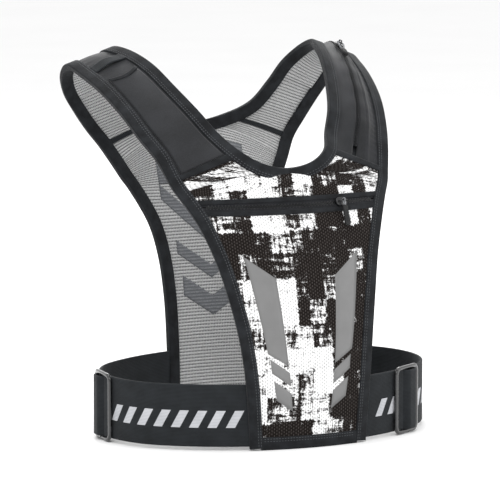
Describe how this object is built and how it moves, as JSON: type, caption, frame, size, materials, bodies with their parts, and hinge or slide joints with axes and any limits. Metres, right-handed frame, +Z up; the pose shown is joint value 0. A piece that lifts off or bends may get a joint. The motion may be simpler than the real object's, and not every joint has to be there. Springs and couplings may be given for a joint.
{
  "type": "safety harness vest",
  "caption": "Pocketed vest on two shoulder straps with bound edges, zip pockets, a mesh back and an adjustable elastic waist belt, standing in its worn shape",
  "frame": {"origin": "underside of the front hem, on the centre line", "axes": "+Z up along the torso, -Y the way the wearer faces, +X the wearer's left"},
  "size_m": [0.3083, 0.2631, 0.3397],
  "materials": {
    "camo_knit": "perforated knit, printed camouflage",
    "binding": "folded stretch tape, matte",
    "strap_fabric": "smooth stretch knit",
    "lining": "plain knit",
    "foam": "matte foam",
    "mesh": "ribbed mesh",
    "reflective": "reflective transfer, satin",
    "print": "printed ink, matte",
    "elastic": "woven elastic webbing",
    "zip": "zip tape and coil",
    "moulded": "moulded, satin gloss",
    "cord": "braided cord"
  },
  "bodies": {
    "vest": {"armhole_binding_left": "binding", "armhole_binding_right": "binding", "back_chevron_lower": "print", "back_chevron_middle": "print", "back_chevron_upper": "print", "back_hem_binding": "binding", "back_mesh_panel": "mesh", "back_webbing_tab_left": "elastic", "back_webbing_tab_right": "elastic", "belt_return_left": "elastic", "belt_return_right": "elastic", "chest_zip_coil": "zip", "chest_zip_tape_lower": "zip", "chest_zip_tape_upper": "zip", "front_hem_binding": "binding", "front_lining": "lining", "front_pocket_bag": "lining", "front_pocket_face": "camo_knit", "front_yoke_face": "camo_knit", "neck_binding": "binding", "reflective_bar_long_left": "reflective", "reflective_bar_long_right": "reflective", "reflective_bar_middle_left": "reflective", "reflective_bar_middle_right": "reflective", "reflective_bar_short_left": "reflective", "reflective_bar_short_right": "reflective", "shoulder_zip_coil": "zip", "shoulder_zip_tape_inner": "zip", "shoulder_zip_tape_outer": "zip", "strap_elastic_loop_right": "elastic", "strap_face_right": "strap_fabric", "strap_lining_left": "lining", "strap_lining_right": "lining", "strap_pad_left": "foam", "strap_pad_right": "foam", "strap_patch_pocket_right": "strap_fabric", "strap_pocket_inner_panel_left": "strap_fabric", "strap_pocket_lip_right": "binding", "strap_pocket_middle_panel_left": "strap_fabric", "strap_pocket_pleat_left": "strap_fabric", "waist_belt_left": "elastic", "waist_belt_right": "elastic", "yoke_seam_tape_left": "binding", "yoke_seam_tape_right": "binding"},
    "chest_slider": {"chest_zip_slider": "moulded"},
    "chest_puller": {"chest_zip_puller": "moulded"},
    "shoulder_slider": {"shoulder_zip_slider": "moulded"},
    "shoulder_puller": {"shoulder_puller_cord": "cord", "shoulder_puller_grip": "moulded"},
    "adjuster_left": {"adjuster_frame_left": "moulded", "adjuster_webbing_left": "elastic"},
    "adjuster_right": {"adjuster_frame_right": "moulded", "adjuster_webbing_right": "elastic"}
  },
  "joints": [
    {"name": "chest_zip_slide", "type": "hinge", "parent": "vest", "child": "chest_slider", "pos_m": [0, 0.29512, 0.21], "axis": [0, 0, 1], "range_deg": [-23, 4]},
    {"name": "chest_puller_swing", "type": "hinge", "parent": "chest_slider", "child": "chest_puller", "pos_m": [0.04622, 0.03209, 0.21233], "axis": [-0.9849, -0.1731, 0], "range_deg": [0, 150]},
    {"name": "shoulder_zip_slide", "type": "hinge", "parent": "vest", "child": "shoulder_slider", "pos_m": [0.05569, 0.2358, 0.14741], "axis": [-0.9415, 0.0852, 0.3261], "range_deg": [-30.5, 1]},
    {"name": "shoulder_puller_swing", "type": "hinge", "parent": "shoulder_slider", "child": "shoulder_puller", "pos_m": [0.11791, 0.19279, 0.3364], "axis": [-0.9081, 0.0646, 0.4137], "range_deg": [0, 140]},
    {"name": "adjuster_slide_left", "type": "hinge", "parent": "vest", "child": "adjuster_left", "pos_m": [0, 0.1905, 0.033], "axis": [0, 0, 1], "range_deg": [-9, 0]},
    {"name": "adjuster_slide_right", "type": "hinge", "parent": "vest", "child": "adjuster_right", "pos_m": [-0.07, 0.105, 0.033], "axis": [0, 0, 1], "range_deg": [-32, 38]}
  ]
}
